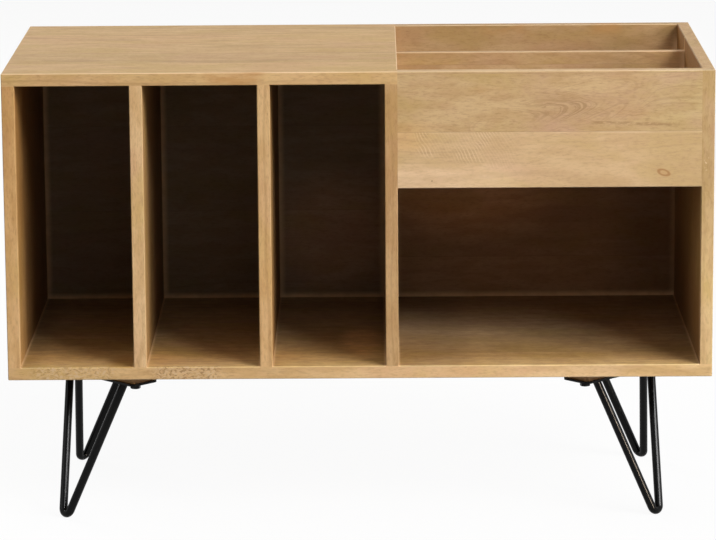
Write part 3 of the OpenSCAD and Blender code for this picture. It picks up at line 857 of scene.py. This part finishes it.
def screw_mesh():
    """A countersunk screw with its head up, in the plane z = 0."""
    build = bmesh.new()
    rim = bmesh.ops.create_circle(build, segments=20, radius=HEAD_R)["verts"]
    rim_edges = list({edge for vert in rim for edge in vert.link_edges})
    corners = [(ARM_HALF, ARM_HALF), (ARM_HALF, ARM_REACH), (-ARM_HALF, ARM_REACH)]
    outline = []
    for quarter in range(4):
        turn = Matrix.Rotation(quarter * math.pi / 2, 3, "Z")
        outline += [build.verts.new(turn @ Vector((x, y, 0))) for x, y in corners]
    pairs = zip(outline, outline[1:] + outline[:1])
    cross = [build.edges.new(pair) for pair in pairs]
    bmesh.ops.triangle_fill(build, use_beauty=True, edges=rim_edges + cross)
    floor_edges = pull(build, cross, 0.5, RECESS)
    bmesh.ops.triangle_fill(build, use_beauty=True, edges=floor_edges)
    loop = pull(build, rim_edges, SHANK_R / HEAD_R, HEAD_R - SHANK_R)
    loop = pull(build, loop, 1.0, SCREW_L - 2 * HEAD_R + SHANK_R)
    loop = pull(build, loop, 0.2, 2 * SHANK_R)
    bmesh.ops.triangle_fill(build, use_beauty=True, edges=loop)
    bmesh.ops.remove_doubles(build, verts=build.verts, dist=1e-7)
    bmesh.ops.recalc_face_normals(build, faces=build.faces)
    mesh = bpy.data.meshes.new("back_screw")
    build.to_mesh(mesh)
    build.free()
    return mesh


screw = screw_mesh()
print("faces in one screw:", len(screw.polygons))

# %% [markdown]
# The screws' places are read from the CAD node, so they can't drift from it: the points of its
# heads lie on the panels' rear face, and points closer together than a head belong to one screw.
# No two screws stop at the same turn, so each cross is twisted a little further than the last.

# %% all the screws
REAR = 0.240
TWIST = 2.4
heads = []
for vert in node["back_screws"].data.vertices:
    if vert.co.y > REAR - 1e-5:
        near = next((h for h in heads if (h[0] - vert.co).length < 3 * HEAD_R), None)
        if near is None:
            heads.append([vert.co.copy()])
        else:
            near.append(vert.co.copy())
build = bmesh.new()
for number, points in enumerate(heads):
    low = Vector(min(p[i] for p in points) for i in range(3))
    high = Vector(max(p[i] for p in points) for i in range(3))
    spot = Matrix.Translation((low + high) / 2) @ Matrix.Rotation(math.radians(-90), 4, "X")
    add_copy(build, screw, spot @ Matrix.Rotation(number * TWIST, 4, "Z"))
cross_screws = steel_piece("back_screws_crossed", build, zinc_steel)
for polygon in cross_screws.data.polygons:
    polygon.use_smooth = False
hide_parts("back_screws")
print("screws:", len(heads))

# %% [markdown]
# ## Studio
# The floor and the air behind are white to the camera, as a studio's paper is when it is lit to
# white. For light that bounces the floor is a plain grey and the air a weak glow, so the paper's
# white adds no light to the object.

# %% floor
FLOOR_WHITE = 0.93
FLOOR_HALF = 40.0


def camera_or_mirror(tree):
    """1 for what the camera sees, also in a reflection or through glass."""
    start = Wire(tree)
    rays = [start.node("ShaderNodeLightPath", {}, {}, f"Is {kind} Ray")
            for kind in ("Camera", "Glossy", "Transmission")]
    return most(most(rays[0], rays[1]), rays[2])


paper = bpy.data.materials.new("studio_paper")
paper.use_nodes = True
tree = paper.node_tree
tree.nodes.clear()
start = Wire(tree)
matt = start.node("ShaderNodeBsdfDiffuse", {}, {"Color": paint(0.35, 0.35, 0.35)})
pale = start.node("ShaderNodeBsdfDiffuse", {}, {"Color": paint(0.9, 0.9, 0.9)})
glow = start.node("ShaderNodeEmission", {}, {"Color": paint(1, 1, 1), "Strength": 1.0})
seen = start.node("ShaderNodeMixShader", {}, {0: FLOOR_WHITE, 1: pale, 2: glow})
sheet = start.node("ShaderNodeMixShader", {}, {0: camera_or_mirror(tree), 1: matt, 2: seen})
start.node("ShaderNodeOutputMaterial", {}, {"Surface": sheet})

build = bmesh.new()
bmesh.ops.create_grid(build, x_segments=1, y_segments=1, size=FLOOR_HALF)
floor_mesh = bpy.data.meshes.new("studio_floor")
build.to_mesh(floor_mesh)
build.free()
floor_mesh.materials.append(paper)
floor = bpy.data.objects.new("studio_floor", floor_mesh)
bpy.context.scene.collection.objects.link(floor)
print("floor:", 2 * FLOOR_HALF, "m square")

# %% [markdown]
# The air is a weak soft tent that is brighter above than at the sides. It fills the shadows, and
# because little of it can be seen from deep inside a slot, the slots stay dark as they should.

# %% world
# The tent's strength at the sides, and how much is added overhead
TENT_SIDES, TENT_ADDED = 0.015, 0.135
world = bpy.data.worlds.new("studio_tent")
bpy.context.scene.world = world
world.use_nodes = True
tree = world.node_tree
tree.nodes.clear()
start = Wire(tree)
_, _, up = split(start.node("ShaderNodeTexCoord", {}, {}, "Generated"))
strength = TENT_SIDES + step(up, 0.12, 0.75) * TENT_ADDED
tent = start.node("ShaderNodeBackground", {},
                  {"Color": paint(1.0, 0.985, 0.96), "Strength": strength})
white = start.node("ShaderNodeBackground", {}, {"Color": paint(1, 1, 1), "Strength": 1.0})
air = start.node("ShaderNodeMixShader", {}, {0: camera_or_mirror(tree), 1: tent, 2: white})
start.node("ShaderNodeOutputWorld", {}, {"Surface": air})
print("world: a soft tent, brighter above")

# %% [markdown]
# The photo's main light comes from the front right, from above the case: it reaches far into the
# bay and only a little way into the slots. Two large softboxes, one above the other, give it a soft
# edge. A weak one on the left opens the shadows, one overhead lights the top and the rims, a small
# one low in front reaches the floors, and one behind keeps the back from going black. The last two
# are for gloss alone. Black steel shows little but what it mirrors, and the photo's rods carry a
# grey streak that the other lamps are too wide to give. Light linking lets these two see only the
# steel, so they don't shine on the wood.

# %% lamps
CASE_MIDDLE = Vector((0.0, 0.0, 0.44))
# Each lamp: name, place, width, height, power
LAMPS = (
    ("key_high_softbox", (3.39, -3.64, 3.8), 2.8, 1.9, 227.0),
    ("key_low_softbox", (5.04, -2.8, 2.09), 2.8, 1.7, 208.0),
    ("left_softbox", (-4.71, -2.72, 2.98), 1.6, 2.8, 40.0),
    ("top_softbox", (-0.83, -1.43, 6.21), 2.4, 2.4, 45.0),
    ("front_softbox", (0.30, -2.40, 1.35), 0.8, 0.6, 1.8),
    ("back_softbox", (-2.6, 3.2, 2.2), 1.8, 1.6, 85.0),
)
GLINTS = (
    ("glint_softbox", (3.3, -3.9, 3.0), 2.4, 1.6, 420.0),
    ("low_glint_softbox", (4.30, -3.97, 0.68), 0.8, 1.6, 400.0),
)
GLINT_TINTS = {"glint_softbox": (1.0, 1.0, 1.0), "low_glint_softbox": (1.0, 0.80, 0.60)}


def softbox(name, place, width, height, power):
    """A rectangular lamp that points at the middle of the case."""
    lamp = bpy.data.lights.new(name, "AREA")
    lamp.shape, lamp.size, lamp.size_y, lamp.energy = "RECTANGLE", width, height, power
    holder = bpy.data.objects.new(name, lamp)
    bpy.context.scene.collection.objects.link(holder)
    holder.location = place
    holder.rotation_mode = "QUATERNION"
    holder.rotation_quaternion = (CASE_MIDDLE - Vector(place)).to_track_quat("-Z", "Y")
    holder.visible_camera = False
    return holder


for lamp in LAMPS:
    softbox(*lamp)
steel_only = bpy.data.collections.new("black_steel_pieces")
for piece in bpy.context.scene.objects:
    if piece.type == "MESH" and piece.data.materials and piece.data.materials[0] == black_steel:
        steel_only.objects.link(piece)
for lamp in GLINTS:
    glint = softbox(*lamp)
    glint.data.color = GLINT_TINTS[glint.name]
    glint.visible_diffuse = False
    glint.light_linking.receiver_collection = steel_only
print("lamps:", len(LAMPS), "and for gloss:", len(GLINTS))

# %% [markdown]
# ## Camera
# The photo was taken with a long lens from a little right of the middle, looking down by about 12
# degrees. These numbers come from the case's edges and the rods in the photo, taken together.

# %% camera
EYE = Vector((0.0227, -5.6342, 1.4819))
PITCH, YAW, ROLL = (math.radians(a) for a in (11.563, -0.26, -0.395))
SENSOR, FOCAL = 36.0, 195.97
ahead = Vector((math.sin(YAW) * math.cos(PITCH), math.cos(YAW) * math.cos(PITCH), -math.sin(PITCH)))
level = Vector((math.cos(YAW), -math.sin(YAW), 0.0))
above = level.cross(ahead)
picture_right = math.cos(ROLL) * level + math.sin(ROLL) * above
picture_up = -math.sin(ROLL) * level + math.cos(ROLL) * above
lens = bpy.data.cameras.new("photo_camera")
lens.sensor_width, lens.lens = SENSOR, FOCAL
lens.clip_start, lens.clip_end = 0.1, 200.0
camera = bpy.data.objects.new("photo_camera", lens)
turn = Matrix((picture_right, picture_up, -ahead)).transposed()
camera.matrix_world = Matrix.Translation(EYE) @ turn.to_4x4()
bpy.context.scene.collection.objects.link(camera)
bpy.context.scene.camera = camera
bpy.context.scene.view_settings.view_transform = "Standard"
print("camera:", [round(v, 3) for v in EYE])
